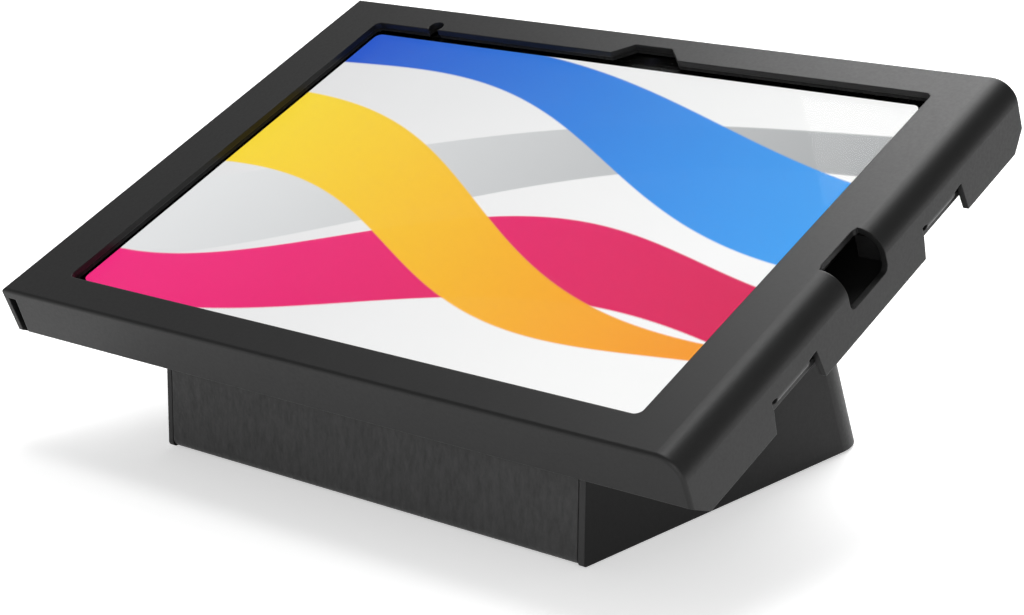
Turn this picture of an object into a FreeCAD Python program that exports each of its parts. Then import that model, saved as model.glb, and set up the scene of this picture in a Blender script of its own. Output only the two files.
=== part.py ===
import FreeCAD, Part
import math
import os
import re
import Sketcher

# Tablet counter mount: a folded steel case that locks a tablet on to a wedge base.
# The case parts are drawn in the case's own frame: X along its width, Y up its slope, Z out of the screen,
# with zero height at the outside of the front face and zero Y at its lower edge. The base parts are drawn
# with Y zero at the front wall and Z zero at the surface that it stands on. Placements join the two.

Vector = FreeCAD.Vector
doc = FreeCAD.newDocument("tablet_mount")

SIZES = [
    ("tablet_width", 248.6, "tablet, long side"),
    ("tablet_height", 179.5, "tablet, short side"),
    ("left_room", 7.45, "tablet to the left flange, for spacers and screw tabs"),
    ("right_room", 12.95, "tablet to the right flange, for a plug as well"),
    ("low_room", 5.35, "tablet to the lower flange"),
    ("high_room", 2.6, "tablet to the upper flange"),
    ("case_depth", 16.6, "depth of the cover's front and rear flanges"),
    ("side_depth", 23.0, "depth of the cover's side flanges"),
    ("corner_front", 7.1, "cut corner at the front of a side flange, along the slope"),
    ("corner_rear", 7.3, "cut corner at the rear of a side flange, along the slope"),
    ("tilt", 24.5, "slope of the screen in degrees"),
    ("sheet", 2.0, "thickness of the folded steel"),
    ("side_bend_inside", 6.0, "inside radius of the bend at the right side"),
    ("edge_round", 1.2, "outside radius of the other three bends"),
    ("window_left", 20.2, "left side of the cover to the window"),
    ("window_right", 21.5, "right side of the cover to the window"),
    ("window_top", 13.5, "upper edge of the cover to the window"),
    ("window_bottom", 13.1, "lower edge of the cover to the window"),
    ("window_corner", 2.5, "corner radius of the window"),
    ("notch_centre", 7.55, "camera notch, offset from the middle of the tablet"),
    ("notch_base", 27.9, "camera notch, width at the window"),
    ("notch_top", 15.2, "camera notch, width at its far side"),
    ("notch_rise", 6.4, "camera notch, depth into the face"),
    ("sensor_place", 89.2, "sensor notch, offset to the left"),
    ("sensor_radius", 2.9, "sensor notch radius"),
    ("sensor_rise", 2.0, "sensor notch, centre above the window's edge"),
    ("port_before", 10.0, "charging cut-out, start before the middle of the slope"),
    ("port_length", 21.5, "charging cut-out, length along the slope"),
    ("port_side", 8.6, "charging cut-out, reach into the face from the outside"),
    ("port_drop", 13.4, "charging cut-out, reach down the flange"),
    ("port_corner", 2.4, "charging cut-out, corner radius"),
    ("tab_front", 44.9, "lower edge of the cover to the front screw tab"),
    ("tab_rear", 61.0, "start of the rear screw tab to the upper edge of the cover"),
    ("tab_width", 17.2, "width of a screw tab"),
    ("tab_reach", 8.2, "how far a tab reaches in from the flange"),
    ("tab_bend_inside", 1.0, "inside radius of a tab's bend"),
    ("relief_level", 12.7, "depth below the face where the relief slots start"),
    ("relief_width", 1.3, "width of a relief slot"),
    ("relief_rear", 2.9, "rear relief slot, distance from the tab"),
    ("relief_front", 1.4, "front relief slot, distance from the tab"),
    ("recess_slant_front", 1.5, "widening of the recess at its front end"),
    ("recess_slant_rear", 2.0, "widening of the recess at its rear end"),
    ("gap_level", 3.3, "depth below the face where a corner gap starts"),
    ("gap_wide", 3.6, "width of a corner gap at its top"),
    ("gap_narrow", 2.1, "width of a corner gap at its bottom"),
    ("liner_thick", 1.4, "foam liner between cover and glass"),
    ("liner_margin", 0.2, "setback of the liner from the window"),
    ("soft_gap", 0.3, "clearance between parts that move apart"),
    ("tablet_depth", 7.0, "tablet, thickness with glass"),
    ("tablet_corner", 12.0, "tablet, corner radius"),
    ("tablet_edge", 1.5, "tablet, rounding of the back edges"),
    ("glass_thick", 0.7, "cover glass of the tablet"),
    ("gasket_thick", 0.4, "black gasket under the glass border"),
    ("panel_thick", 0.35, "display panel thickness"),
    ("fit_gap", 0.15, "clearance of a piece set into the tablet"),
    ("border_side", 10.6, "border of the tablet at its short sides"),
    ("border_edge", 10.0, "border of the tablet at its long sides"),
    ("display_corner", 2.5, "lit area, corner radius"),
    ("camera_radius", 2.6, "front camera module radius"),
    ("camera_depth", 3.4, "front camera module depth"),
    ("camera_edge", 5.4, "front camera, distance from the tablet's edge"),
    ("button_thick", 2.6, "tablet buttons, height across the tablet's edge"),
    ("button_proud", 0.4, "tablet buttons, how far they stand out"),
    ("button_travel", 0.3, "tablet buttons, travel"),
    ("button_depth", 1.8, "tablet buttons, overall depth"),
    ("power_length", 14.0, "power button length"),
    ("power_below", 23.75, "power button centre to the tablet's upper edge"),
    ("volume_length", 12.0, "length of one volume button"),
    ("volume_above", 37.75, "centre of the volume pair to the tablet's lower edge"),
    ("volume_pitch", 15.0, "distance between the two volume buttons"),
    ("socket_width", 9.0, "charging socket, width along the slope"),
    ("socket_thick", 3.2, "charging socket, height"),
    ("socket_wall", 0.3, "charging socket, wall of its shell"),
    ("socket_depth", 7.0, "charging socket, depth"),
    ("pad_thick", 5.4, "foam pads between tablet and tray"),
    ("pad_clear", 3.8, "foam pads to the clinch nuts of the tray"),
    ("pad_width", 26.0, "foam pad, short side"),
    ("pad_inset", 18.0, "foam pad, distance from the tablet's edges"),
    ("tray_gap", 0.5, "clearance between tray and cover flanges"),
    ("tray_corner", 3.0, "tray corner radius"),
    ("spacer_height", 8.0, "side spacer height above the tray"),
    ("spacer_front", 6.0, "lower side spacer, distance from the front screw tab"),
    ("spacer_rear", 3.0, "upper side spacer, distance from the rear screw tab"),
    ("spacer_offset", 7.0, "side spacers, distance from the charging cut-out"),
    ("screw_shank", 4.0, "diameter of every machine screw"),
    ("screw_clear", 0.5, "how much a clearance hole is larger than its screw"),
    ("thread_clear", 0.3, "how much a threaded bore is larger than its screw"),
    ("lock_head", 7.6, "diameter of a security screw's flush head"),
    ("lock_head_depth", 1.8, "depth of a security screw's flush head"),
    ("lock_pin", 0.9, "pin in the drive recess"),
    ("drive_size", 2.9, "drive recess across corners"),
    ("drive_depth", 1.3, "drive recess depth"),
    ("nut_size", 7.0, "diameter of a clinch nut"),
    ("nut_height", 3.0, "height of a clinch nut on a tab"),
    ("tray_nut_height", 1.5, "height of a clinch nut on the tray"),
    ("pan_head", 7.6, "diameter of a pan head"),
    ("pan_head_depth", 2.6, "height of a pan head"),
    ("washer_size", 9.4, "washer diameter"),
    ("washer_thick", 0.8, "washer thickness"),
    ("base_width", 172.5, "outside width of the base"),
    ("front_height", 42.5, "height of the sloped plane above the front wall"),
    ("slope_length", 131.2, "length of the base along the slope"),
    ("overhang", 20.7, "cover's lower edge to the base, along the slope"),
    ("rear_bend_inside", 18.0, "inside radius of the base's rear bends"),
    ("foot_height", 0.8, "how far the feet lift the base"),
    ("foot_size", 16.0, "diameter of a foot"),
    ("foot_inset", 14.0, "foot centre from the base's sides"),
    ("plate_gap", 0.4, "gap between front wall and side walls"),
    ("front_bend_inside", 1.0, "inside radius of the foot plate's bend"),
    ("side_lip", 12.0, "depth of the top plate's side lips"),
    ("vesa_pitch", 100.0, "square hole pattern that holds the case"),
    ("cable_hole", 40.0, "cable hole through tray and top plate"),
    ("floor_hole", 36.0, "clear bore of the grommet in the foot plate"),
    ("grommet_rim", 3.0, "width of the grommet's lips"),
    ("grommet_wall", 2.0, "grommet wall inside the hole"),
    ("grommet_lip", 1.4, "thickness of the grommet's upper lip"),
    ("bolt_pitch_x", 110.0, "counter holes, spacing across"),
    ("bolt_pitch_y", 80.0, "counter holes, spacing front to back"),
    ("bolt_front", 32.0, "counter holes, front wall to first row"),
    ("bolt_hole", 5.5, "counter holes, diameter"),
    ("exit_width", 26.0, "cable exit in the rear wall, width"),
    ("exit_height", 14.0, "cable exit in the rear wall, height"),
    ("exit_corner", 4.0, "cable exit in the rear wall, corner radius"),
    ("bracket_length", 18.0, "corner bracket, length"),
    ("bracket_leg", 15.0, "corner bracket, leg"),
    ("bracket_front", 26.0, "front bracket, distance from the front wall"),
    ("bracket_rear", 100.0, "rear bracket, distance from the front wall"),
]

dims = doc.addObject("Spreadsheet::Sheet", "Dims")
for row, (alias, size, note) in enumerate(SIZES, start=1):
    dims.set(f"A{row}", alias)
    dims.set(f"B{row}", str(size))
    dims.set(f"C{row}", note)
    dims.setAlias(f"B{row}", alias)
doc.recompute()
NAMES = {alias for alias, size, note in SIZES}

# Sizes that follow from the sheet, written once here
FOLLOWS = {
    "case_width": "tablet_width + left_room + right_room + 2 * sheet",
    "case_height": "tablet_height + low_room + high_room + 2 * sheet",
    "window_height": "case_height - window_bottom - window_top",
    "display_width": "tablet_width - 2 * border_side",
    "display_height": "tablet_height - 2 * border_edge",
    "port_start": "case_height / 2 - port_before",
    "tab_pitch": "case_height - tab_front - tab_rear",
    "tablet_x": "(left_room - right_room) / 2",
    "tablet_low": "sheet + low_room",
    "tablet_high": "sheet + low_room + tablet_height",
    "tablet_y": "sheet + low_room + tablet_height / 2",
    "power_place": "tablet_high - power_below",
    "volume_place": "tablet_low + volume_above",
}

# Depths below the outside of the front face
GLASS_TOP = "(sheet + liner_thick + soft_gap)"
GLASS_BACK = f"({GLASS_TOP} + glass_thick)"
GASKET_BACK = f"({GLASS_BACK} + gasket_thick)"
TABLET_BACK = f"({GLASS_TOP} + tablet_depth)"
TABLET_MIDDLE = f"(({GASKET_BACK} + {TABLET_BACK}) / 2)"
TRAY_TOP = f"({TABLET_BACK} + soft_gap + pad_thick)"
TRAY_BACK = f"({TRAY_TOP} + sheet)"
PLATE_BACK = f"({TRAY_BACK} + sheet)"
TAB_LEVEL = f"({TRAY_TOP} - soft_gap)"
TAB_TOP = f"({TAB_LEVEL} - sheet)"

# Places in the case
SIDE_BEND = "(side_bend_inside + sheet)"
TAB_BEND = "(tab_bend_inside + sheet)"
FLANGE_IN = "(case_width / 2 - sheet)"
WINDOW_LEFT = "(window_left - case_width / 2)"
WINDOW_RIGHT = "(case_width / 2 - window_right)"
WINDOW_TOP = "(window_bottom + window_height)"
NOTCH_X = "(tablet_x + notch_centre)"
SENSOR_Y = f"({WINDOW_TOP} + sensor_rise)"
CAMERA_Y = "(tablet_high - camera_edge)"
TABLET_LEFT = "(tablet_x - tablet_width / 2)"
TABLET_RIGHT = "(tablet_x + tablet_width / 2)"
TAB_SCREW_X = f"({FLANGE_IN} - tab_bend_inside - nut_size / 2 - fit_gap)"
TAB_SCREW_FRONT = "(tab_front + tab_width / 2)"
TAB_SCREW_REAR = f"({TAB_SCREW_FRONT} + tab_pitch)"
PORT_MIDDLE = "(port_start + port_length / 2)"
PLATE_MIDDLE = "(overhang + slope_length / 2)"
PLATE_REAR = "(overhang + slope_length)"

# Where the case sits on the base, and the middle of the whole object
CASE_Y = f"(-overhang * cos(tilt) - {TRAY_BACK} * sin(tilt))"
CASE_Z = f"(front_height - overhang * sin(tilt) + {TRAY_BACK} * cos(tilt))"
BASE_REAR = "(slope_length * cos(tilt) + (front_height + slope_length * sin(tilt)) * tan(tilt))"
CASE_REAR = f"({CASE_Y} + case_height * cos(tilt) + case_depth * sin(tilt))"
CASE_FRONT = f"({CASE_Y} + edge_round * (cos(tilt) + sin(tilt) - 1))"
SHELL_REAR = f"({BASE_REAR} - foot_height * tan(tilt))"
OBJECT_MIDDLE = f"((max({SHELL_REAR}; {CASE_REAR}) + {CASE_FRONT}) / 2)"
WALL_IN = "(base_width / 2 - sheet)"
PLATE_SIDE = f"({WALL_IN} - plate_gap)"
FOOT_PLATE_TOP = "(foot_height + sheet)"
SLOPED_SHEET = "(sheet / cos(tilt))"


def bound(expression):
    """Point every size named in an expression at its cell."""
    def cell(word):
        if word[0] in FOLLOWS:
            return f"({bound(FOLLOWS[word[0]])})"
        return "Dims." + word[0] if word[0] in NAMES else word[0]
    return re.sub(r"[a-z_]+", cell, expression)


def number(expression):
    """Work out an expression of the sheet's sizes."""
    return float(dims.evalExpression(bound(expression)))


def new_body(label, place_y="-" + OBJECT_MIDDLE, place_z="0", slope="0"):
    """Start a sub-part; its placement follows the sheet."""
    body = doc.addObject("PartDesign::Body", label)
    body.Placement = FreeCAD.Placement(Vector(0, 0, 0), FreeCAD.Rotation(Vector(1, 0, 0), 1.0))
    body.setExpression("Placement.Rotation.Angle", bound(slope))
    body.setExpression("Placement.Base.y", bound(place_y))
    body.setExpression("Placement.Base.z", bound(place_z))
    return body


def case_body(label):
    """Start a sub-part that is drawn in the sloped frame of the case."""
    return new_body(label, f"{CASE_Y} - {OBJECT_MIDDLE}", CASE_Z, "tilt")


def new_sketch(body, role, level):
    """Sketch on one of the body's own origin planes, moved along its normal."""
    sketch = body.newObject("Sketcher::SketchObject", "sketch")
    plane = [item for item in body.Origin.OriginFeatures if item.Role == role][0]
    sketch.AttachmentSupport = [(plane, "")]
    sketch.MapMode = "FlatFace"
    sketch.setExpression("AttachmentOffset.Base.z", bound(level))
    return sketch


def pin(sketch, geometry, point, across, along):
    """Fix one point of the sketch by two distances from its origin."""
    for kind, expression in (("DistanceX", across), ("DistanceY", along)):
        if expression is None:
            continue
        constraint = Sketcher.Constraint(kind, -1, 1, geometry, point, number(expression))
        index = sketch.addConstraint(constraint)
        sketch.setExpression(f"Constraints[{index}]", bound(expression))


def polygon(points):
    """Closed outline through the given corners."""
    def draw(sketch):
        first = sketch.GeometryCount
        corners = [Vector(number(x), number(y), 0) for x, y in points]
        count = len(corners)
        for index in range(count):
            sketch.addGeometry(Part.LineSegment(corners[index], corners[(index + 1) % count]))
        for index in range(count):
            following = first + (index + 1) % count
            sketch.addConstraint(Sketcher.Constraint("Coincident", first + index, 2, following, 1))
        for index, (x, y) in enumerate(points):
            pin(sketch, first + index, 1, x, y)
    return draw


def rectangle(x0, x1, y0, y1):
    """Rectangle between two pairs of limits."""
    return polygon([(x0, y0), (x1, y0), (x1, y1), (x0, y1)])


def circle(x, y, radius):
    """Circle bound in place and radius."""
    def draw(sketch):
        centre = Vector(number(x), number(y), 0)
        index = sketch.addGeometry(Part.Circle(centre, Vector(0, 0, 1), number(radius)))
        pin(sketch, index, 3, x, y)
        limit = sketch.addConstraint(Sketcher.Constraint("Radius", index, number(radius)))
        sketch.setExpression(f"Constraints[{limit}]", bound(radius))
    return draw


def rounded(x0, x1, y0, y1, radius):
    """Rectangle with four equal round corners."""
    def draw(sketch):
        first = sketch.GeometryCount
        left, right, low, high = (number(item) for item in (x0, x1, y0, y1))
        size = number(radius)
        sides = [((left + size, low), (right - size, low)), ((right, low + size), (right, high - size)),
                 ((right - size, high), (left + size, high)), ((left, high - size), (left, low + size))]
        centres = [(right - size, low + size), (right - size, high - size),
                   (left + size, high - size), (left + size, low + size)]
        for start, end in sides:
            sketch.addGeometry(Part.LineSegment(Vector(*start, 0), Vector(*end, 0)))
        for index, (x, y) in enumerate(centres):
            round_corner = Part.Circle(Vector(x, y, 0), Vector(0, 0, 1), size)
            turn = (index - 1) * math.pi / 2
            sketch.addGeometry(Part.ArcOfCircle(round_corner, turn, turn + math.pi / 2))
        for index in range(4):
            arc = first + 4 + index
            sketch.addConstraint(Sketcher.Constraint("Tangent", first + index, 2, arc, 1))
            sketch.addConstraint(Sketcher.Constraint("Tangent", arc, 2, first + (index + 1) % 4, 1))
            kind = "Vertical" if index % 2 else "Horizontal"
            sketch.addConstraint(Sketcher.Constraint(kind, first + index))
        for index in range(1, 4):
            sketch.addConstraint(Sketcher.Constraint("Equal", first + 4, first + 4 + index))
        limit = sketch.addConstraint(Sketcher.Constraint("Radius", first + 4, size))
        sketch.setExpression(f"Constraints[{limit}]", bound(radius))
        pin(sketch, first, 1, None, y0)
        pin(sketch, first + 1, 1, x1, None)
        pin(sketch, first + 2, 1, None, y1)
        pin(sketch, first + 3, 1, x0, None)
    return draw


def hexagon(x, y, radius):
    """Six-sided drive recess."""
    corners = [(f"{x} + {radius} * cos({60 * k})", f"{y} + {radius} * sin({60 * k})") for k in range(6)]
    return polygon(corners)


def grow(body, kind, role, low, high, loops):
    """Pad or pocket the loops between two levels along the plane's axis."""
    before = body.Shape.Volume if body.Tip else 0.0
    flip = role == "XZ_Plane"
    if kind == "Pad":
        level = f"-({high})" if flip else low
    else:
        level = f"-({low})" if flip else high
    sketch = new_sketch(body, role, level)
    for draw in loops:
        draw(sketch)
    feature = body.newObject("PartDesign::" + kind, kind.lower())
    feature.Profile = sketch
    feature.setExpression("Length", bound(f"({high}) - ({low})"))
    doc.recompute()
    change = body.Shape.Volume - before
    if (kind == "Pad") != (change > 0.0) or abs(change) < 1e-6:
        raise RuntimeError(f"{body.Label}: a {kind} changed the volume by {change}")
    return feature


def pad(body, role, low, high, *loops):
    """Add material between two levels."""
    return grow(body, "Pad", role, low, high, loops)


def pocket(body, role, low, high, *loops):
    """Take material away between two levels."""
    return grow(body, "Pocket", role, low, high, loops)


def edges_where(shape, test):
    """Names of the edges whose middle passes a test."""
    return [f"Edge{index}" for index, edge in enumerate(shape.Edges, start=1) if test(edge)]


def round_edges(body, radius, test):
    """Fillet the edges that pass a test."""
    base = body.Tip
    fillet = body.newObject("PartDesign::Fillet", "fillet")
    fillet.Base = (base, edges_where(base.Shape, test))
    fillet.setExpression("Radius", bound(radius))
    doc.recompute()
    return fillet


def hollow(body, wall, test):
    """Turn a block into folded sheet, open at the faces that pass a test."""
    base = body.Tip
    shell = body.newObject("PartDesign::Thickness", "shell")
    faces = [f"Face{index}" for index, face in enumerate(base.Shape.Faces, start=1) if test(face)]
    shell.Base = (base, faces)
    shell.Reversed = True
    shell.setExpression("Value", bound(wall))
    doc.recompute()
    return shell


def near(a, b):
    """Equal within a hundredth of a millimetre."""
    return abs(a - b) < 0.01


def mirrored_x(x):
    """A place and its mirror image across the middle."""
    return [f"-({x})", x]


def vesa_places():
    """The four holes of the square pattern, in the case frame."""
    rows = [f"{PLATE_MIDDLE} - vesa_pitch / 2", f"{PLATE_MIDDLE} + vesa_pitch / 2"]
    return [(x, y) for x in mirrored_x("vesa_pitch / 2") for y in rows]


def tab_places():
    """The four screw tabs, in the case frame."""
    return [(x, y) for x in mirrored_x(TAB_SCREW_X) for y in (TAB_SCREW_FRONT, TAB_SCREW_REAR)]


def tab_profile(side):
    """Cross-section of a flange's lower end that bends in to a screw tab."""
    outer = f"{side} * (case_width / 2"
    inner = f"{side} * ({FLANGE_IN}"
    bend_top = f"-({TAB_LEVEL} - {TAB_BEND})"

    def draw(sketch):
        first = sketch.GeometryCount
        root_x = number(f"{outer} - {TAB_BEND})")
        root_z = number(bend_top)
        big = number(TAB_BEND)
        small = number("tab_bend_inside")
        sign = float(side)
        tip = number(f"{inner} - tab_reach)")
        centre = Vector(root_x, root_z, 0)
        down, out = Vector(0, -1, 0), Vector(sign, 0, 0)
        middle = (down + out).normalize()
        outer_arc = Part.Arc(centre + out * big, centre + middle * big, centre + down * big)
        inner_arc = Part.Arc(centre + out * small, centre + middle * small, centre + down * small)
        sketch.addGeometry(outer_arc)
        sketch.addGeometry(Part.LineSegment(centre + down * big, Vector(tip, root_z - big, 0)))
        sketch.addGeometry(Part.LineSegment(Vector(tip, root_z - big, 0), Vector(tip, root_z - small, 0)))
        sketch.addGeometry(Part.LineSegment(Vector(tip, root_z - small, 0), centre + down * small))
        sketch.addGeometry(inner_arc)
        sketch.addGeometry(Part.LineSegment(centre + out * small, centre + out * big))
        for index in (0, 4):
            pin(sketch, first + index, 3, f"{outer} - {TAB_BEND})", bend_top)
        join(sketch, first, root_z, bend_top, f"{inner} - tab_reach)")
    return draw


def join(sketch, first, level, bend_top, tip):
    """Close a tab's cross-section and fix its bends, its tip and its top."""
    def ends(index):
        """Which end of an arc lies level with its centre, and which below it."""
        start = sketch.getPoint(first + index, 1)
        return (1, 2) if near(start.y, level) else (2, 1)
    outer_level, outer_low = ends(0)
    inner_level, inner_low = ends(4)
    pairs = [("Tangent", 0, outer_low, 1, 1), ("Coincident", 1, 2, 2, 1), ("Coincident", 2, 2, 3, 1),
             ("Tangent", 3, 2, 4, inner_low), ("Coincident", 4, inner_level, 5, 1),
             ("Coincident", 5, 2, 0, outer_level)]
    for kind, one, end, other, start in pairs:
        sketch.addConstraint(Sketcher.Constraint(kind, first + one, end, first + other, start))
    for index, name in ((0, TAB_BEND), (4, "tab_bend_inside")):
        limit = sketch.addConstraint(Sketcher.Constraint("Radius", first + index, number(name)))
        sketch.setExpression(f"Constraints[{limit}]", bound(name))
    for index in (1, 3, 5):
        sketch.addConstraint(Sketcher.Constraint("Horizontal", first + index))
    pin(sketch, first + 1, 2, tip, None)
    pin(sketch, first + 2, 2, tip, None)
    pin(sketch, first + 5, 1, None, bend_top)


def flange_recess(start):
    """Outline of the recess and relief slots round one tab, as seen from the side."""
    end = f"({start} + tab_width)"
    low = "-(side_depth + sheet)"
    bend = f"-({TAB_LEVEL} - {TAB_BEND})"
    slot_front = f"({start} - relief_front - relief_width)"
    slot_rear = f"({end} + relief_rear + relief_width)"
    return polygon([
        (slot_front, "-relief_level"), (f"{start} - relief_front", "-relief_level"),
        (start, bend), (end, bend), (f"{end} + relief_rear", "-relief_level"), (slot_rear, "-relief_level"),
        (f"{slot_rear} + recess_slant_rear", low), (f"{slot_front} - recess_slant_front", low),
        (slot_front, f"-{TAB_LEVEL}"),
    ])


def cut_window(body, low, high, margin):
    """Cut the window with its camera notch and sensor notch, widened by a margin."""
    pocket(body, "XY_Plane", low, high,
           rounded(f"{WINDOW_LEFT} - {margin}", f"{WINDOW_RIGHT} + {margin}",
                   f"window_bottom - {margin}", f"{WINDOW_TOP} + {margin}", "window_corner"))
    notch_low, notch_high = f"{WINDOW_TOP} - window_corner", f"{WINDOW_TOP} + notch_rise + {margin}"
    wide, narrow = f"(notch_base / 2 + {margin})", f"(notch_top / 2 + {margin})"
    pocket(body, "XY_Plane", low, high, polygon([
        (f"{NOTCH_X} - {wide}", notch_low), (f"{NOTCH_X} + {wide}", notch_low),
        (f"{NOTCH_X} + {wide}", WINDOW_TOP), (f"{NOTCH_X} + {narrow}", notch_high),
        (f"{NOTCH_X} - {narrow}", notch_high), (f"{NOTCH_X} - {wide}", WINDOW_TOP)]))
    pocket(body, "XY_Plane", low, high, circle("-sensor_place", SENSOR_Y, f"sensor_radius + {margin}"))


def cut_corners(body):
    """Slant the lower corners of the side flanges and shorten the flanges between them."""
    half = "case_width / 2"
    low = "-(side_depth + sheet)"
    past = "(case_height + sheet)"
    for corner, end, outside in (("corner_front", "0", "-sheet"),
                                 ("(case_height - corner_rear)", "case_height", past)):
        pocket(body, "YZ_Plane", f"-({half}) - sheet", f"{half} + sheet", polygon([
            (end, "-case_depth"), (corner, "-side_depth"), (corner, low), (outside, low),
            (outside, "-case_depth")]))
    for start, end in (("-sheet", "sheet * 2"), ("case_height - sheet * 2", past)):
        pocket(body, "XZ_Plane", start, end, rectangle(f"-{FLANGE_IN}", FLANGE_IN, low, "-case_depth"))


def front_cover():
    """Folded cover: face with window, flanges all round, four screw tabs and the charging cut-out."""
    body = case_body("front_cover")
    half = "case_width / 2"
    pad(body, "XY_Plane", "-side_depth", "0", rectangle(f"-{half}", half, "0", "case_height"))
    side = number(half)
    round_edges(body, SIDE_BEND, lambda e: near(e.CenterOfMass.z, 0) and near(e.CenterOfMass.x, side))
    hollow(body, "sheet", lambda f: near(f.CenterOfMass.z, -number("side_depth")))
    ends = (0.0, number("case_height"))
    round_edges(body, "edge_round", lambda e: near(e.CenterOfMass.z, 0) and (
        near(e.CenterOfMass.x, -side) or any(near(e.CenterOfMass.y, end) for end in ends)))
    cut_corners(body)
    cut_window(body, "-sheet * 2", "sheet", "0")
    port_end = "port_start + port_length"
    pocket(body, "XY_Plane", f"-{SIDE_BEND}", "sheet",
           rounded(f"{half} - port_side", f"{half} + port_side", "port_start", port_end, "port_corner"))
    pocket(body, "YZ_Plane", f"{half} - {SIDE_BEND}", f"{half} + sheet",
           rounded("port_start", port_end, "-port_drop", "port_drop", "port_corner"))
    for start in ("tab_front", "(tab_front + tab_pitch)"):
        for low, high in ((f"-({half}) - sheet", f"-({FLANGE_IN} - fit_gap)"),
                          (f"{FLANGE_IN} - fit_gap", f"{half} + sheet")):
            pocket(body, "YZ_Plane", low, high, flange_recess(start))
    for low, high in (("-sheet", "sheet * 2"), ("case_height - sheet * 2", "case_height + sheet")):
        bottom = "-(side_depth + sheet)"
        pocket(body, "XZ_Plane", low, high, polygon([
            (f"-{FLANGE_IN}", "-gap_level"), (f"-{FLANGE_IN} + gap_wide", "-gap_level"),
            (f"-{FLANGE_IN} + gap_narrow", bottom), (f"-{FLANGE_IN}", bottom)]))
    for start in ("tab_front", "(tab_front + tab_pitch)"):
        pad(body, "XZ_Plane", start, f"{start} + tab_width", tab_profile("1"), tab_profile("-1"))
    holes = [circle(x, y, "(screw_shank + screw_clear) / 2") for x, y in tab_places()]
    pocket(body, "XY_Plane", f"-{TAB_LEVEL} - sheet", f"-{TAB_TOP} + sheet / 2", *holes)
    return body


def cover_liner():
    """Foam liner that presses on the border of the glass."""
    body = case_body("cover_liner")
    pad(body, "XY_Plane", "-(sheet + liner_thick)", "-sheet", tablet_outline("soft_gap", "tablet_corner"))
    cut_window(body, "-(sheet + liner_thick) - 1", "-sheet + 1", "liner_margin")
    return body


def ring(x, y, outer, inner):
    """Two circles that bound a ring."""
    return [circle(x, y, outer), circle(x, y, inner)]


def clinch_nuts():
    """Threaded nuts pressed on to the four tabs; threads are plain bores."""
    body = case_body("clinch_nuts")
    loops = []
    for x, y in tab_places():
        loops += ring(x, y, "nut_size / 2", "(screw_shank + thread_clear) / 2")
    pad(body, "XY_Plane", f"-{TAB_TOP}", f"-{TAB_TOP} + nut_height", *loops)
    return body


def back_tray():
    """Flat tray that closes the case from behind."""
    body = case_body("back_tray")
    wide = f"{FLANGE_IN} - tray_gap"
    pad(body, "XY_Plane", f"-{TRAY_BACK}", f"-{TRAY_TOP}",
        rounded(f"-({wide})", wide, "sheet + tray_gap", "case_height - sheet - tray_gap", "tray_corner"))
    through = (f"-{TRAY_BACK} - 1", f"-{TRAY_TOP} + 1")
    holes = [circle(x, y, "(screw_shank + screw_clear) / 2") for x, y in vesa_places() + tab_places()]
    pocket(body, "XY_Plane", *through, *holes, circle("0", PLATE_MIDDLE, "cable_hole / 2"))
    rims = [circle(x, y, "lock_head / 2 + fit_gap") for x, y in tab_places()]
    pocket(body, "XY_Plane", f"-{TRAY_BACK} - 1", f"-{TRAY_BACK} + lock_head_depth", *rims)
    return body


def rear_pads():
    """Foam pads that carry the back of the tablet."""
    body = case_body("rear_pads")
    loops = []
    beside_nuts = "(vesa_pitch / 2 + nut_size / 2 + pad_clear)"
    for x0, x1 in ((f"{TABLET_LEFT} + pad_inset", f"-{beside_nuts}"),
                   (beside_nuts, f"{TABLET_RIGHT} - pad_inset")):
        for y0, y1 in (("tablet_low + pad_inset", "tablet_low + pad_inset + pad_width"),
                       ("tablet_high - pad_inset - pad_width", "tablet_high - pad_inset")):
            loops.append(rectangle(x0, x1, y0, y1))
    pad(body, "XY_Plane", f"-{TRAY_TOP}", f"-{TRAY_TOP} + pad_thick", *loops)
    return body


def side_spacers():
    """Blocks on the tray that centre the tablet between the short flanges."""
    body = case_body("side_spacers")
    spans = [("tab_front + tab_width + spacer_front", "port_start - spacer_offset"),
             ("port_start + port_length + spacer_offset", "tab_front + tab_pitch - spacer_rear")]
    loops = []
    for start, end in spans:
        loops.append(rectangle(f"{TABLET_RIGHT} + soft_gap", f"{FLANGE_IN} - soft_gap", start, end))
        loops.append(rectangle(f"-({FLANGE_IN} - soft_gap)", f"{TABLET_LEFT} - soft_gap", start, end))
    pad(body, "XY_Plane", f"-{TRAY_TOP}", f"-{TRAY_TOP} + spacer_height", *loops)
    return body


def security_screws():
    """Flush screws with pin drive that lock the cover to the tray."""
    body = case_body("security_screws")
    places = tab_places()
    pad(body, "XY_Plane", f"-{TRAY_BACK}", f"-{TAB_TOP} + nut_height",
        *[circle(x, y, "screw_shank / 2") for x, y in places])
    pad(body, "XY_Plane", f"-{TRAY_BACK}", f"-{TRAY_BACK} + lock_head_depth - fit_gap",
        *[circle(x, y, "lock_head / 2") for x, y in places])
    pocket(body, "XY_Plane", f"-{TRAY_BACK} - 1", f"-{TRAY_BACK} + drive_depth",
           *[hexagon(x, y, "drive_size / 2") for x, y in places])
    pad(body, "XY_Plane", f"-{TRAY_BACK} + fit_gap", f"-{TRAY_BACK} + drive_depth",
        *[circle(x, y, "lock_pin / 2") for x, y in places])
    return body


def vesa_nuts():
    """Clinch nuts on the tray for the screws that come up from the base."""
    body = case_body("vesa_nuts")
    loops = []
    for x, y in vesa_places():
        loops += ring(x, y, "nut_size / 2", "(screw_shank + thread_clear) / 2")
    pad(body, "XY_Plane", f"-{TRAY_TOP}", f"-{TRAY_TOP} + tray_nut_height", *loops)
    return body


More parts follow.
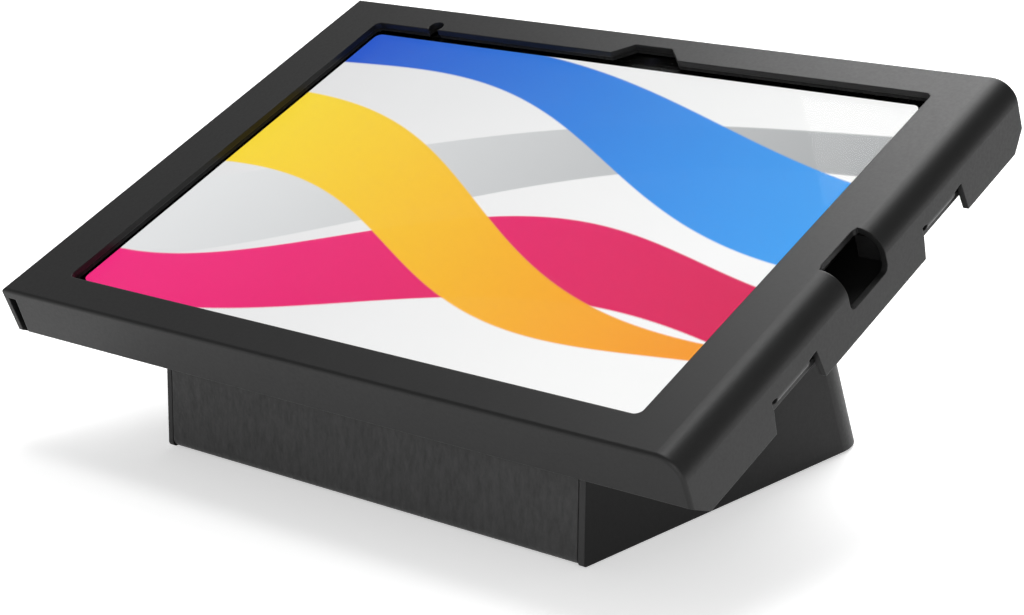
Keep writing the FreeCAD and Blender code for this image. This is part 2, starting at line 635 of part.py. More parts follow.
def vesa_washers():
    """Washers under the top plate."""
    body = case_body("vesa_washers")
    loops = []
    for x, y in vesa_places():
        loops += ring(x, y, "washer_size / 2", "(screw_shank + screw_clear) / 2")
    pad(body, "XY_Plane", f"-{PLATE_BACK} - washer_thick", f"-{PLATE_BACK}", *loops)
    return body


def vesa_screws():
    """Pan head screws that hold the case on the base."""
    body = case_body("vesa_screws")
    head_top = f"-{PLATE_BACK} - washer_thick"
    places = vesa_places()
    pad(body, "XY_Plane", head_top, f"-{TRAY_TOP} + tray_nut_height",
        *[circle(x, y, "screw_shank / 2") for x, y in places])
    pad(body, "XY_Plane", f"{head_top} - pan_head_depth", head_top,
        *[circle(x, y, "pan_head / 2") for x, y in places])
    rim = number(f"{head_top} - pan_head_depth")
    round_edges(body, "pan_head_depth / 3", lambda e: near(e.CenterOfMass.z, rim))
    pocket(body, "XY_Plane", f"{head_top} - pan_head_depth - 1",
           f"{head_top} - pan_head_depth + drive_depth",
           *[hexagon(x, y, "drive_size / 2") for x, y in places])
    return body


def tablet_outline(inset, corner):
    """Rounded outline of the tablet, moved in by an inset."""
    return rounded(f"{TABLET_LEFT} + {inset}", f"{TABLET_RIGHT} - {inset}", f"tablet_low + {inset}",
                   f"tablet_high - {inset}", corner)


def display_outline(margin, corner):
    """Rounded outline round the lit area."""
    across = f"(display_width / 2 + {margin})"
    along = f"(display_height / 2 + {margin})"
    return rounded(f"tablet_x - {across}", f"tablet_x + {across}", f"tablet_y - {along}",
                   f"tablet_y + {along}", corner)


def tablet_glass():
    """Cover glass of the tablet."""
    body = case_body("tablet_glass")
    pad(body, "XY_Plane", f"-{GLASS_BACK}", f"-{GLASS_TOP}", tablet_outline("fit_gap", "tablet_corner"))
    return body


def display_gasket():
    """Black frame under the border of the glass."""
    body = case_body("display_gasket")
    pad(body, "XY_Plane", f"-{GASKET_BACK}", f"-{GLASS_BACK}", tablet_outline("fit_gap", "tablet_corner"))
    cut = (f"-{GASKET_BACK} - 1", f"-{GLASS_BACK} + 1")
    pocket(body, "XY_Plane", *cut, display_outline("0", "display_corner"))
    pocket(body, "XY_Plane", *cut, circle(NOTCH_X, CAMERA_Y, "camera_radius + fit_gap"))
    return body


def display_panel():
    """Display panel that lies in the gasket, face to face with the glass."""
    body = case_body("display_panel")
    pad(body, "XY_Plane", f"-{GLASS_BACK} - panel_thick", f"-{GLASS_BACK}",
        display_outline("-fit_gap", "display_corner"))
    return body


def camera_module():
    """Front camera under the notch of the cover."""
    body = case_body("camera_module")
    pad(body, "XY_Plane", f"-{GLASS_BACK} - camera_depth", f"-{GLASS_BACK}",
        circle(NOTCH_X, CAMERA_Y, "camera_radius"))
    return body


def button_slot(place, length, extra):
    """Outline of a button or of its slot, seen from the tablet's short side."""
    half = f"(({length}) / 2 + {extra})"
    rise = f"(button_thick / 2 + {extra})"
    return rounded(f"{place} - {half}", f"{place} + {half}", f"-{TABLET_MIDDLE} - {rise}",
                   f"-{TABLET_MIDDLE} + {rise}", f"{rise} * 0.9")


def tablet_body():
    """Metal back shell of the tablet with pockets for socket, buttons and camera."""
    body = case_body("tablet_body")
    pad(body, "XY_Plane", f"-{TABLET_BACK}", f"-{GASKET_BACK}", tablet_outline("0", "tablet_corner"))
    back = -number(TABLET_BACK)
    round_edges(body, "tablet_edge", lambda e: near(e.CenterOfMass.z, back))
    volumes = volume_places()
    pocket(body, "YZ_Plane", f"{TABLET_LEFT} - 1",
           f"{TABLET_LEFT} - button_proud + button_depth + button_travel + fit_gap",
           button_slot("power_place", "power_length", "fit_gap"),
           *[button_slot(place, "volume_length", "fit_gap") for place in volumes])
    pocket(body, "YZ_Plane", f"{TABLET_RIGHT} - socket_depth", f"{TABLET_RIGHT} + 1",
           socket_outline("0"))
    pocket(body, "XY_Plane", f"-{GLASS_BACK} - camera_depth - fit_gap", f"-{GASKET_BACK} + 1",
           circle(NOTCH_X, CAMERA_Y, "camera_radius + fit_gap"))
    return body


def volume_places():
    """Centres of the two volume buttons along the slope, the lower one first."""
    return ["(volume_place - volume_pitch / 2)", "(volume_place + volume_pitch / 2)"]


def side_button(label, place, length):
    """One of the buttons in the tablet's short side."""
    body = case_body(label)
    outside = f"{TABLET_LEFT} - button_proud"
    pad(body, "YZ_Plane", outside, f"{outside} + button_depth", button_slot(place, length, "0"))
    return body


def socket_outline(inset):
    """Stadium outline of the charging socket, seen from the side."""
    rise = f"(socket_thick / 2 - {inset})"
    half = f"(socket_width / 2 - {inset})"
    return rounded(f"tablet_y - {half}", f"tablet_y + {half}", f"-{TABLET_MIDDLE} - {rise}",
                   f"-{TABLET_MIDDLE} + {rise}", f"{rise} * 0.95")


def charge_socket():
    """Metal shell of the charging socket."""
    body = case_body("charge_socket")
    pad(body, "YZ_Plane", f"{TABLET_RIGHT} - socket_depth", TABLET_RIGHT, socket_outline("0"))
    pocket(body, "YZ_Plane", f"{TABLET_RIGHT} - socket_depth + socket_wall", f"{TABLET_RIGHT} + 1",
           socket_outline("socket_wall"))
    tongue = "socket_wall * 1.2"
    pad(body, "YZ_Plane", f"{TABLET_RIGHT} - socket_depth + socket_wall", f"{TABLET_RIGHT} - socket_wall * 4",
        rectangle("tablet_y - socket_width / 3", "tablet_y + socket_width / 3",
                  f"-{TABLET_MIDDLE} - {tongue}", f"-{TABLET_MIDDLE} + {tongue}"))
    return body


def rear_at(height):
    """Where the leaning rear wall stands at a height above the surface."""
    return f"({BASE_REAR} - ({height}) * tan(tilt))"


def base_shell():
    """Side walls and rear wall, wrapped from one sheet with large rear bends."""
    body = new_body("base_shell")
    half = "base_width / 2"
    top_rear_y = "slope_length * cos(tilt)"
    top_rear_z = "front_height + slope_length * sin(tilt)"
    pad(body, "YZ_Plane", f"-{half}", half, polygon([
        ("0", "foot_height"), (rear_at("foot_height"), "foot_height"), (top_rear_y, top_rear_z),
        ("0", "front_height")]))
    rear = number(f"({rear_at('foot_height')} + {top_rear_y}) / 2")
    side = number(half)
    round_edges(body, "rear_bend_inside + sheet",
                lambda e: near(abs(e.CenterOfMass.x), side) and near(e.CenterOfMass.y, rear))
    foot = number("foot_height")
    slope = Vector(0, -number("sin(tilt)"), number("cos(tilt)"))
    hollow(body, "sheet", lambda f: near(f.CenterOfMass.y, 0) or near(f.CenterOfMass.z, foot)
           or near(f.normalAt(0, 0).dot(slope), 1))
    pocket(body, "XZ_Plane", f"{BASE_REAR} / 2", f"{BASE_REAR} + sheet",
           rounded("-exit_width / 2", "exit_width / 2", "foot_height - exit_height",
                   "foot_height + exit_height", "exit_corner"))
    round_edges(body, "sheet * 0.8", lambda e: near(e.CenterOfMass.y, 0) and near(e.CenterOfMass.z, foot))
    return body


def top_plate():
    """Sloped plate under the tray, with lips that are welded to the side walls."""
    body = case_body("top_plate")
    rear = f"{PLATE_REAR} - sheet"
    corner = "rear_bend_inside"
    pad(body, "XY_Plane", f"-{PLATE_BACK}", f"-{TRAY_BACK}",
        rounded(f"-{WALL_IN}", WALL_IN, "overhang + sheet + plate_gap - rear_bend_inside", rear, corner))
    pocket(body, "XY_Plane", f"-{PLATE_BACK} - 1", f"-{TRAY_BACK} + 1",
           rectangle(f"-{WALL_IN} - 1", f"{WALL_IN} + 1", "overhang - rear_bend_inside",
                     "overhang + sheet + plate_gap"))
    lips = [rectangle(f"{WALL_IN} - sheet", WALL_IN, "overhang + side_lip", f"{rear} - rear_bend_inside"),
            rectangle(f"-{WALL_IN}", f"-{WALL_IN} + sheet", "overhang + side_lip",
                      f"{rear} - rear_bend_inside")]
    pad(body, "XY_Plane", f"-{PLATE_BACK} - side_lip", f"-{PLATE_BACK}", *lips)
    holes = [circle(x, y, "(screw_shank + screw_clear) / 2") for x, y in vesa_places()]
    pocket(body, "XY_Plane", f"-{PLATE_BACK} - 1", f"-{TRAY_BACK} + 1", *holes,
           circle("0", PLATE_MIDDLE, "cable_hole / 2"))
    return body


def foot_plate():
    """Front wall and bottom plate, folded from one sheet and set between the side walls."""
    body = new_body("foot_plate")
    top = "(front_height - soft_gap)"
    rear = f"({rear_at(FOOT_PLATE_TOP)} - {SLOPED_SHEET} - plate_gap)"
    pad(body, "YZ_Plane", f"-{PLATE_SIDE}", PLATE_SIDE, polygon([
        ("0", "foot_height"), (rear, "foot_height"), (rear, FOOT_PLATE_TOP), ("sheet", FOOT_PLATE_TOP),
        ("sheet", f"{top} + sheet * tan(tilt)"), ("0", top)]))
    foot = number("foot_height")
    inside = number(FOOT_PLATE_TOP)
    round_edges(body, "front_bend_inside + sheet",
                lambda e: near(e.CenterOfMass.y, 0) and near(e.CenterOfMass.z, foot))
    back = number("sheet")
    round_edges(body, "front_bend_inside",
                lambda e: near(e.CenterOfMass.y, back) and near(e.CenterOfMass.z, inside)
                and near(e.CenterOfMass.x, 0))
    end = number(rear)
    round_edges(body, "rear_bend_inside - plate_gap",
                lambda e: near(e.CenterOfMass.y, end) and near(e.CenterOfMass.z, (foot + inside) / 2))
    low, high = "foot_height - 1", f"{FOOT_PLATE_TOP} + 1"
    rows = ["bolt_front", "bolt_front + bolt_pitch_y"]
    bolts = [circle(x, y, "bolt_hole / 2") for x in mirrored_x("bolt_pitch_x / 2") for y in rows]
    screws = [circle(x, y, "(screw_shank + screw_clear) / 2") for x, y in bracket_places()]
    grommet = circle("0", "bolt_front + bolt_pitch_y / 2", "floor_hole / 2 + grommet_wall")
    pocket(body, "XY_Plane", low, high, *bolts, *screws, grommet)
    rims = [circle(x, y, "lock_head / 2 + fit_gap") for x, y in bracket_places()]
    pocket(body, "XY_Plane", low, "foot_height + lock_head_depth", *rims)
    return body


def bracket_places():
    """Screw centres of the four corner brackets."""
    rows = ["bracket_front + bracket_length / 2", "bracket_rear + bracket_length / 2"]
    return [(x, y) for x in mirrored_x(f"({WALL_IN} - bracket_leg / 2 - sheet / 2)") for y in rows]


def corner_brackets():
    """Angle brackets welded to the side walls; the foot plate screws up into them."""
    body = new_body("corner_brackets")
    for low in ("bracket_front", "bracket_rear"):
        loops = []
        for side in ("1", "-1"):
            floor, wall = FOOT_PLATE_TOP, f"{side} * {WALL_IN}"
            loops.append(polygon([
                (wall, floor), (f"{side} * ({WALL_IN} - bracket_leg)", floor),
                (f"{side} * ({WALL_IN} - bracket_leg)", f"{floor} + sheet"),
                (f"{side} * ({WALL_IN} - sheet)", f"{floor} + sheet"),
                (f"{side} * ({WALL_IN} - sheet)", f"{floor} + bracket_leg"),
                (wall, f"{floor} + bracket_leg")]))
        pad(body, "XZ_Plane", low, f"{low} + bracket_length", *loops)
    holes = [circle(x, y, "(screw_shank + thread_clear) / 2") for x, y in bracket_places()]
    pocket(body, "XY_Plane", f"{FOOT_PLATE_TOP} - 1", f"{FOOT_PLATE_TOP} + sheet + 1", *holes)
    return body


def foot_screws():
    """Flush screws that hold the foot plate to the brackets."""
    body = new_body("foot_screws")
    places = bracket_places()
    pad(body, "XY_Plane", "foot_height", f"{FOOT_PLATE_TOP} + sheet * 2",
        *[circle(x, y, "screw_shank / 2") for x, y in places])
    pad(body, "XY_Plane", "foot_height", "foot_height + lock_head_depth - fit_gap",
        *[circle(x, y, "lock_head / 2") for x, y in places])
    pocket(body, "XY_Plane", "foot_height - 1", "foot_height + drive_depth",
           *[hexagon(x, y, "drive_size / 2") for x, y in places])
    return body


def rubber_feet():
    """Thin round feet on the bottom plate."""
    body = new_body("rubber_feet")
    across = f"({PLATE_SIDE} - foot_inset)"
    rear = f"({rear_at('foot_height')} - {SLOPED_SHEET} - foot_inset * 1.5)"
    places = [(x, y) for x in mirrored_x(across) for y in ("foot_inset", rear)]
    pad(body, "XY_Plane", "0", "foot_height", *[circle(x, y, "foot_size / 2") for x, y in places])
    return body


def cable_grommet():
    """Rubber grommet round the cable hole of the foot plate."""
    body = new_body("cable_grommet")
    centre = ("0", "bolt_front + bolt_pitch_y / 2")
    bore = "floor_hole / 2"
    wall = "floor_hole / 2 + grommet_wall"
    rim = f"{wall} + grommet_rim"
    pad(body, "XY_Plane", "foot_height * 0.25", f"{FOOT_PLATE_TOP} + grommet_lip", *ring(*centre, wall, bore))
    pad(body, "XY_Plane", FOOT_PLATE_TOP, f"{FOOT_PLATE_TOP} + grommet_lip", *ring(*centre, rim, bore))
    return body


front_cover()
cover_liner()
clinch_nuts()
back_tray()
rear_pads()
side_spacers()
security_screws()
vesa_nuts()
vesa_washers()
vesa_screws()
tablet_glass()
display_gasket()
display_panel()
camera_module()
tablet_body()
side_button("power_button", "power_place", "power_length")
for label, place in zip(("volume_down_button", "volume_up_button"), volume_places()):
    side_button(label, place, "volume_length")
charge_socket()
base_shell()
top_plate()
foot_plate()
corner_brackets()
foot_screws()
rubber_feet()
cable_grommet()
doc.recompute()

for item in doc.Objects:
    if "Invalid" in item.State or "Error" in item.State:
        raise RuntimeError(f"{item.Label} failed: {item.State}")

os.makedirs("parts", exist_ok=True)
for body in doc.findObjects("PartDesign::Body"):
    shape = body.Shape
    if shape.isNull() or not shape.isValid():
        raise RuntimeError(f"{body.Label} has no valid shape")
    shape.exportStep(f"parts/{body.Label}.step")
    box = shape.BoundBox
    print(f"{body.Label:20s} solids {len(shape.Solids):2d} volume {shape.Volume:10.1f} "
          f"y {box.YMin:7.2f}..{box.YMax:7.2f} z {box.ZMin:7.2f}..{box.ZMax:7.2f}")
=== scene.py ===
import math

import bpy
from mathutils import Matrix, Vector


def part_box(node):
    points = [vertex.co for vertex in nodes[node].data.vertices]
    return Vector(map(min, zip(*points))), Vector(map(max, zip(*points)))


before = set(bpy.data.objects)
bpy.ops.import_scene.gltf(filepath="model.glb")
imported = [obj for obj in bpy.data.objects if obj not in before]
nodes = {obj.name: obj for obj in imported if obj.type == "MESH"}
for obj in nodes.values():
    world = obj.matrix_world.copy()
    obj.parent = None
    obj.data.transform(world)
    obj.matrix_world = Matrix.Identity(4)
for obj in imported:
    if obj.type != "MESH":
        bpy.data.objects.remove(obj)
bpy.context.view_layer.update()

SCREEN_TILT = math.radians(24.5)
SCREEN_LOW = Vector(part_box("display_panel")[0])
SCREEN_HIGH = Vector(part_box("display_panel")[1])
BASE_FRONT = Vector((0.0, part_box("foot_plate")[0][1], 0.0))
SHELL_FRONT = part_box("base_shell")[0][1]

# A noise value hardly leaves this range
NOISE_LOW = 0.3
NOISE_HIGH = 0.7


def grey(value, warm=0.0):
    """Neutral colour with a little warmth."""
    return (value * (1 + warm), value, value * (1 - warm))


class Nodes:
    """Short calls that add the nodes of a tree and join them."""

    def __init__(self, tree):
        self.tree = tree

    def add(self, kind, **settings):
        """Add a node and set its properties."""
        made = self.tree.nodes.new(kind)
        for key, value in settings.items():
            setattr(made, key, value)
        return made

    def link(self, output, target):
        """Join two sockets."""
        self.tree.links.new(output, target)

    def feed(self, value, target):
        """Give a socket another socket's value or a constant."""
        if isinstance(value, bpy.types.NodeSocket):
            self.link(value, target)
        else:
            target.default_value = value

    def place(self, kind="Object"):
        """Position on the object, or another coordinate."""
        return self.add("ShaderNodeTexCoord").outputs[kind]

    def split(self, vector):
        """The three parts of a vector, by the names X, Y and Z."""
        made = self.add("ShaderNodeSeparateXYZ")
        self.link(vector, made.inputs["Vector"])
        return made.outputs

    def combine(self, kind, *values):
        """One arithmetic node; values are sockets or constants."""
        made = self.add("ShaderNodeMath", operation=kind)
        for value, target in zip(values, made.inputs):
            self.feed(value, target)
        return made.outputs[0]

    def mapped(self, value, low, high, low_result=0.0, high_result=1.0, smooth=False):
        """Take a value from one range to another, along a line or a smooth step."""
        made = self.add("ShaderNodeMapRange", interpolation_type="SMOOTHSTEP" if smooth else "LINEAR")
        made.inputs["From Min"].default_value = low
        made.inputs["From Max"].default_value = high
        made.inputs["To Min"].default_value = low_result
        made.inputs["To Max"].default_value = high_result
        self.link(value, made.inputs["Value"])
        return made.outputs["Result"]

    def ramp(self, value, first, last):
        """Colour ramp between two stops, each a place and a colour."""
        made = self.add("ShaderNodeValToRGB")
        for element, (place, colour) in zip(made.color_ramp.elements, (first, last)):
            element.position = place
            element.color = (*colour, 1.0)
        self.link(value, made.inputs["Fac"])
        return made.outputs["Color"]

    def mix(self, factor, first, second, blend="MIX"):
        """Mix two colours; each argument is a socket or a constant."""
        made = self.add("ShaderNodeMix", data_type="RGBA", blend_type=blend)
        self.feed(factor, made.inputs["Factor"])
        self.feed(first, made.inputs[6])
        self.feed(second, made.inputs[7])
        return made.outputs[2]

    def noise(self, scale, detail=2.0, rough=0.5, stretch=None):
        """Noise value; stretch multiplies the place along each axis."""
        source = self.place()
        if stretch:
            mapping = self.add("ShaderNodeMapping")
            mapping.inputs["Scale"].default_value = stretch
            self.link(source, mapping.inputs["Vector"])
            source = mapping.outputs["Vector"]
        made = self.add("ShaderNodeTexNoise")
        made.inputs["Scale"].default_value = scale
        made.inputs["Detail"].default_value = detail
        made.inputs["Roughness"].default_value = rough
        self.link(source, made.inputs["Vector"])
        return made.outputs["Fac"]

    def cells(self, scale, smooth=0.6):
        """Distance in rounded cells."""
        made = self.add("ShaderNodeTexVoronoi", feature="SMOOTH_F1")
        made.inputs["Scale"].default_value = scale
        made.inputs["Smoothness"].default_value = smooth
        self.link(self.place(), made.inputs["Vector"])
        return made.outputs["Distance"]

    def bump(self, value, strength, height, below=None):
        """Bump from a value, over the bump below it."""
        made = self.add("ShaderNodeBump")
        made.inputs["Strength"].default_value = strength
        made.inputs["Distance"].default_value = height
        self.link(value, made.inputs["Height"])
        if below is not None:
            self.link(below, made.inputs["Normal"])
        return made.outputs["Normal"]

    def soft_edges(self, radius):
        """Normals that round the sharp cut edges of sheet."""
        made = self.add("ShaderNodeBevel", samples=6)
        made.inputs["Radius"].default_value = radius
        return made.outputs["Normal"]


class Maker(Nodes):
    """A material, with its shader and calls that give the shader its looks."""

    def __init__(self, name, colour, roughness, metallic=0.0, specular=0.5, coat=0.0):
        self.material = bpy.data.materials.new(name)
        self.material.use_nodes = True
        super().__init__(self.material.node_tree)
        self.shader = self.tree.nodes["Principled BSDF"]
        self.set("Base Color", (*colour, 1.0))
        self.set("Roughness", roughness)
        self.set("Metallic", metallic)
        self.set("Specular IOR Level", specular)
        self.set("Coat Weight", coat)

    def set(self, name, value):
        """Set a constant on the shader."""
        self.shader.inputs[name].default_value = value

    def use(self, name, output):
        """Let a node drive an input of the shader."""
        self.link(output, self.shader.inputs[name])

    def tint(self, noise, dark, light):
        """Vary the base colour between two colours."""
        self.use("Base Color", self.ramp(noise, (NOISE_LOW, dark), (NOISE_HIGH, light)))

    def roughen(self, noise, low, high):
        """Vary the roughness between two limits."""
        self.use("Roughness", self.mapped(noise, NOISE_LOW, NOISE_HIGH, low, high))

    def shape(self, normal):
        """Use a normal."""
        self.use("Normal", normal)


# Coats, metals, foam, plastic and glass
# Depth of the band along the front cut edges that gets the painted light
PAINTED_EDGE_LIGHT_DEPTH = (0.0002, 0.0005)


def powder_coat(name, level, specular, painted_edge_light=None):
    """Smooth satin powder coat. Cut edges in the plane of the front wall may get a lighter level painted on,
    painted light that stands for the stronger light falling on the front.
    """
    made = Maker(name, grey(level), 0.42, specular=specular)
    cloud = made.noise(30.0, 3.0)
    coat = made.ramp(cloud, (NOISE_LOW, grey(level * 0.94)), (NOISE_HIGH, grey(level * 1.06)))
    # Painted light: the cut edges at the front are painted lighter to stand for the light that falls on the
    # front of the base
    if painted_edge_light is not None:
        near, far = (SHELL_FRONT + depth for depth in PAINTED_EDGE_LIGHT_DEPTH)
        edge_light_mask = made.mapped(made.split(made.place())["Y"], near, far, 1.0, 0.0)
        coat = made.mix(edge_light_mask, coat, (*grey(painted_edge_light), 1.0))
    made.use("Base Color", coat)
    made.roughen(made.noise(900.0, 2.0), 0.38, 0.46)
    fine = made.bump(made.noise(2600.0, 2.0, 0.6), 0.3, 0.00002, made.soft_edges(0.0005))
    made.shape(made.bump(made.noise(420.0, 2.0), 0.12, 0.00003, fine))
    return made.material


def grained_coat(name, level, specular):
    """Coat with a fine leathery grain that runs upwards, in slightly uneven tone."""
    made = Maker(name, grey(level), 0.48, specular=specular)
    wrinkles = made.noise(520.0, 5.0, 0.65, (1.0, 1.0, 0.35))
    made.tint(wrinkles, grey(level * 0.78), grey(level * 1.24))
    made.roughen(made.noise(500.0, 3.0), 0.42, 0.56)
    cells = made.bump(made.cells(700.0), 0.8, 0.00012, made.soft_edges(0.0005))
    made.shape(made.bump(made.noise(1800.0, 3.0, 0.7), 0.4, 0.00004, cells))
    return made.material


def foam(name, level):
    """Closed cell foam."""
    made = Maker(name, grey(level), 0.9, specular=0.2)
    made.tint(made.noise(900.0, 4.0), grey(level * 0.6), grey(level * 1.5))
    made.shape(made.bump(made.cells(1500.0), 0.7, 0.0002))
    return made.material


def moulded(name, level, roughness=0.5, specular=0.4):
    """Moulded black plastic or rubber with a fine sparked texture."""
    made = Maker(name, grey(level), roughness, specular=specular)
    made.tint(made.noise(120.0, 3.0), grey(level * 0.8), grey(level * 1.25))
    made.roughen(made.noise(700.0, 3.0), roughness - 0.08, roughness + 0.1)
    made.shape(made.bump(made.noise(2200.0, 2.0), 0.4, 0.00005, made.soft_edges(0.0002)))
    return made.material


def steel(name, level, roughness, brushed=(1.0, 30.0, 30.0), metallic=1.0):
    """Plated or blasted metal with fine marks."""
    warm = 0.01
    made = Maker(name, grey(level, warm), roughness, metallic=metallic)
    made.tint(made.noise(160.0, 4.0, stretch=brushed), grey(level * 0.85, warm), grey(level * 1.1, warm))
    made.roughen(made.noise(400.0, 4.0, stretch=brushed), roughness - 0.08, roughness + 0.12)
    made.shape(made.bump(made.noise(500.0, 2.0, stretch=brushed), 0.2, 0.00002, made.soft_edges(0.0002)))
    return made.material


def clear_glass(name):
    """Clear cover glass; its low index stands for the layer that takes reflections away."""
    made = Maker(name, (0.98, 0.985, 0.98), 0.02)
    made.set("Transmission Weight", 1.0)
    made.set("IOR", 1.05)
    made.roughen(made.noise(30.0, 3.0), 0.01, 0.03)
    made.tint(made.noise(12.0), (0.96, 0.965, 0.96), (0.985, 0.99, 0.985))
    return made.material


def lens(name):
    """Dark glossy camera lens."""
    made = Maker(name, (0.01, 0.01, 0.015), 0.08, specular=0.6, coat=0.5)
    made.tint(made.noise(900.0, 2.0), (0.006, 0.006, 0.01), (0.03, 0.03, 0.045))
    return made.material


# Picture on the screen: across goes from -1 to 1 over its width, and up from about -1 to 1 over its height
UP_SCALE = 1.43
LINE_BLUR = 0.006
ACROSS_TO_TONE = 0.45
RIBBON_STRENGTH = 0.99
SCREEN_GLOW = 0.97
GROUND_STOPS = ((0.0, (0.80, 0.80, 0.81)), (0.8, (0.98, 0.98, 0.98)))

# Each ribbon: lower and upper line as level, height, turns, shift and slope; colours at the left and right
RIBBONS = [
    ((-0.10, 0.20, 2.3, 0.6, 0.55), (0.34, 0.16, 2.0, 1.4, 0.48), (0.80, 0.81, 0.82), (0.42, 0.43, 0.44)),
    ((0.42, 0.18, 2.6, 2.5, -0.35), (0.80, 0.14, 2.2, 2.1, -0.22), (0.02, 0.10, 0.62), (0.05, 0.36, 0.92)),
    ((-0.78, 0.20, 2.4, 0.2, 0.10), (-0.34, 0.22, 2.8, 0.9, 0.22), (0.93, 0.02, 0.22), (0.72, 0.01, 0.10)),
    ((-0.46, 0.16, 3.0, 3.6, -0.28), (-0.06, 0.20, 2.5, 3.2, -0.42), (0.98, 0.72, 0.04), (0.96, 0.33, 0.02)),
]


def wave(made, across, level, height, turns, shift, slope):
    """Height of a wavy line."""
    angle = made.combine("MULTIPLY_ADD", across, turns, shift)
    rise = made.combine("MULTIPLY", made.combine("SINE", angle), height)
    return made.combine("ADD", made.combine("MULTIPLY_ADD", across, slope, level), rise)


def above(made, up, line):
    """1 above a line and 0 below it."""
    return made.mapped(made.combine("SUBTRACT", up, line), -LINE_BLUR, LINE_BLUR, smooth=True)


def band(made, up, low_line, high_line):
    """1 between two lines."""
    under_high = made.combine("SUBTRACT", 1.0, above(made, up, high_line))
    return made.combine("MULTIPLY", above(made, up, low_line), under_high)


def screen_place(made):
    """Place across and up on the screen, which lies at a slope."""
    half_width = (SCREEN_HIGH.x - SCREEN_LOW.x) / 2
    mapping = made.add("ShaderNodeMapping", vector_type="TEXTURE")
    mapping.inputs["Location"].default_value = (SCREEN_LOW + SCREEN_HIGH) / 2
    mapping.inputs["Rotation"].default_value = (SCREEN_TILT, 0.0, 0.0)
    mapping.inputs["Scale"].default_value = (half_width, half_width, half_width)
    made.link(made.place(), mapping.inputs["Vector"])
    place = made.split(mapping.outputs["Vector"])
    return place["X"], made.combine("MULTIPLY", place["Y"], UP_SCALE)


def screen_picture(name):
    """Lit panel with soft wavy ribbons of colour on an off-white ground."""
    made = Maker(name, (0.01, 0.01, 0.01), 0.5, specular=0.05)
    across, up = screen_place(made)
    colour = made.ramp(made.combine("MULTIPLY_ADD", across, ACROSS_TO_TONE, 0.42), *GROUND_STOPS)
    for low, high, left, right in RIBBONS:
        mask = band(made, up, wave(made, across, *low), wave(made, across, *high))
        tone = made.combine("MULTIPLY_ADD", across, ACROSS_TO_TONE, 0.5)
        ribbon = made.ramp(tone, (0.05, left), (0.95, right))
        colour = made.mix(made.combine("MULTIPLY", mask, RIBBON_STRENGTH), colour, ribbon)
    pixels = made.mapped(made.noise(5200.0, 1.0), NOISE_LOW, NOISE_HIGH)
    faint = made.ramp(pixels, (0.0, grey(0.985)), (1.0, grey(1.0)))
    made.use("Emission Color", made.mix(1.0, colour, faint, "MULTIPLY"))
    made.set("Emission Strength", SCREEN_GLOW)
    return made.material


# Looks and the nodes that wear them
LOOKS = {
    powder_coat("case_coat", 0.0115, 0.23): ["front_cover", "back_tray"],
    # The base's front cut edges get painted light at level 0.06
    powder_coat("base_coat", 0.010, 0.08, painted_edge_light=0.06): ["base_shell", "top_plate"],
    grained_coat("grained_coat", 0.053, 0.2): ["foot_plate"],
    foam("black_foam", 0.012): ["cover_liner", "rear_pads"],
    moulded("black_plastic", 0.015): ["side_spacers"],
    moulded("gasket_black", 0.006, 0.18, 0.6): ["display_gasket"],
    moulded("foot_rubber", 0.014, 0.7): ["rubber_feet", "cable_grommet"],
    steel("zinc_steel", 0.52, 0.35): ["clinch_nuts", "vesa_nuts", "vesa_washers", "corner_brackets"],
    steel("dark_steel", 0.05, 0.4, metallic=0.6): ["security_screws", "vesa_screws", "foot_screws"],
    steel("tablet_shell", 0.03, 0.45, (8.0, 8.0, 8.0)): ["tablet_body"],
    steel("tablet_button", 0.08, 0.35, (6.0, 6.0, 6.0)): ["power_button", "volume_down_button",
                                                          "volume_up_button"],
    steel("socket_steel", 0.5, 0.3): ["charge_socket"],
    clear_glass("screen_glass"): ["tablet_glass"],
    lens("lens_black"): ["camera_module"],
    screen_picture("screen_picture"): ["display_panel"],
}


def dress(node, look):
    """Put a look in every material slot of a node."""
    slots = node.data.materials
    if not slots:
        slots.append(look)
    for index in range(len(slots)):
        slots[index] = look


for look, members in LOOKS.items():
    for member in members:
        dress(nodes[member], look)


# Studio: floor, world and lamps
FLOOR_SIZE = 12.0
FLOOR_LEVEL = 0.9
FLOOR_WHITE = 0.5
FLOOR_FADE = (0.6, 3.0)
HORIZON = 0.74
HORIZON_UP = 0.12
CEILING = 0.36
CEILING_UP = 0.5
RIGHT_SIDE = 0.55
RIGHT_FADE = (0.1, 0.8)

# Each lamp: name, place, what it is aimed at, side of its square, power in watts
LAMPS = [
    ("key", (-0.5, 1.28, 1.62), (0.0, 0.0, 0.06), 1.25, 33.0),
    ("over", (0.0, 0.1, 1.3), (0.1, -0.06, 0.05), 0.4, 3.8),
    ("side", (1.5, -0.2, 0.9), (0.0, 0.0, 0.06), 0.9, 2.0),
    ("front", (0.27, -0.27, 0.09), (0.09, -0.07, 0.01), 0.15, 0.22),
]


def white_floor():
    """White floor that keeps the object's soft shadow; its own white shows to camera, gloss and glass."""
    bpy.ops.mesh.primitive_plane_add(size=FLOOR_SIZE, location=(0, 0, 0))
    floor = bpy.context.object
    floor.name = "studio_floor"
    made = Maker("studio_floor", grey(FLOOR_LEVEL), 0.8, specular=0.1)
    made.tint(made.noise(3.0), grey(FLOOR_LEVEL - 0.01), grey(FLOOR_LEVEL + 0.01))
    path = made.add("ShaderNodeLightPath").outputs
    seen = made.combine("MAXIMUM", path["Is Camera Ray"], path["Is Glossy Ray"])
    seen = made.combine("MAXIMUM", seen, path["Is Transmission Ray"])
    reach = made.add("ShaderNodeVectorMath", operation="LENGTH")
    made.link(made.place(), reach.inputs["Vector"])
    white = made.mapped(reach.outputs["Value"], *FLOOR_FADE, FLOOR_WHITE, 1.0, smooth=True)
    made.set("Emission Color", (1.0, 1.0, 1.0, 1.0))
    made.use("Emission Strength", made.combine("MULTIPLY", seen, white))
    floor.data.materials.append(made.material)


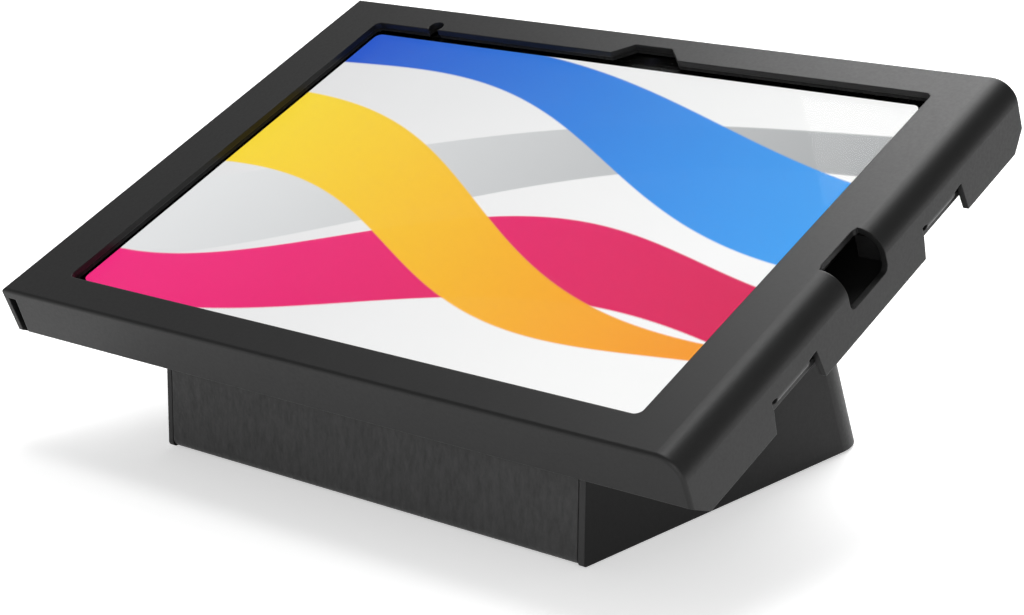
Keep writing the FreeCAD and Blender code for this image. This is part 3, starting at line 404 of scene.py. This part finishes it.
def studio_world():
    """Pale round the horizon, softer grey above and towards the right."""
    world = bpy.data.worlds.new("studio")
    bpy.context.scene.world = world
    world.use_nodes = True
    sky = Nodes(world.node_tree)
    way = sky.split(sky.place("Generated"))
    light = sky.tree.nodes["Background"]
    colour = sky.ramp(way["Z"], (HORIZON_UP, grey(HORIZON)), (CEILING_UP, grey(CEILING)))
    sky.link(colour, light.inputs["Color"])
    sky.link(sky.mapped(way["X"], *RIGHT_FADE, 1.0, RIGHT_SIDE), light.inputs["Strength"])


def soft_lamp(name, place, aim, side, power):
    """Square area lamp aimed at a point."""
    data = bpy.data.lights.new(name, "AREA")
    data.shape = "RECTANGLE"
    data.size = side
    data.size_y = side
    data.energy = power
    lamp = bpy.data.objects.new(name, data)
    bpy.context.scene.collection.objects.link(lamp)
    lamp.location = place
    lamp.visible_camera = False
    lamp.rotation_mode = "QUATERNION"
    lamp.rotation_quaternion = (Vector(aim) - Vector(place)).to_track_quat("-Z", "Y")


# Camera found from the photograph; its place is measured from the foot of the base's front wall
CAMERA_PLACE = Vector((0.46966, -0.50612, 0.24445))
CAMERA_YAW = math.radians(39.06)
CAMERA_PITCH = math.radians(14.72)
CAMERA_ROLL = math.radians(0.64)
SENSOR_WIDTH = 36.0
PHOTO_WIDTH = 1024
FOCUS_PIXELS = 2363.89


def photo_camera():
    """Camera at the photograph's viewing angle."""
    data = bpy.data.cameras.new("photo_camera")
    data.sensor_width = SENSOR_WIDTH
    data.lens = FOCUS_PIXELS / PHOTO_WIDTH * SENSOR_WIDTH
    data.clip_start = 0.01
    camera = bpy.data.objects.new("photo_camera", data)
    bpy.context.scene.collection.objects.link(camera)
    level = math.cos(CAMERA_PITCH)
    back = Vector((math.sin(CAMERA_YAW) * level, -math.cos(CAMERA_YAW) * level, math.sin(CAMERA_PITCH)))
    right = Vector((math.cos(CAMERA_YAW), math.sin(CAMERA_YAW), 0.0))
    up = back.cross(right)
    turned = right * math.cos(CAMERA_ROLL) + up * math.sin(CAMERA_ROLL)
    axes = Matrix((turned, back.cross(turned), back)).transposed().to_4x4()
    camera.matrix_world = Matrix.Translation(CAMERA_PLACE + BASE_FRONT) @ axes
    bpy.context.scene.camera = camera


white_floor()
studio_world()
for lamp in LAMPS:
    soft_lamp(*lamp)
photo_camera()
bpy.context.scene.view_settings.view_transform = "Standard"
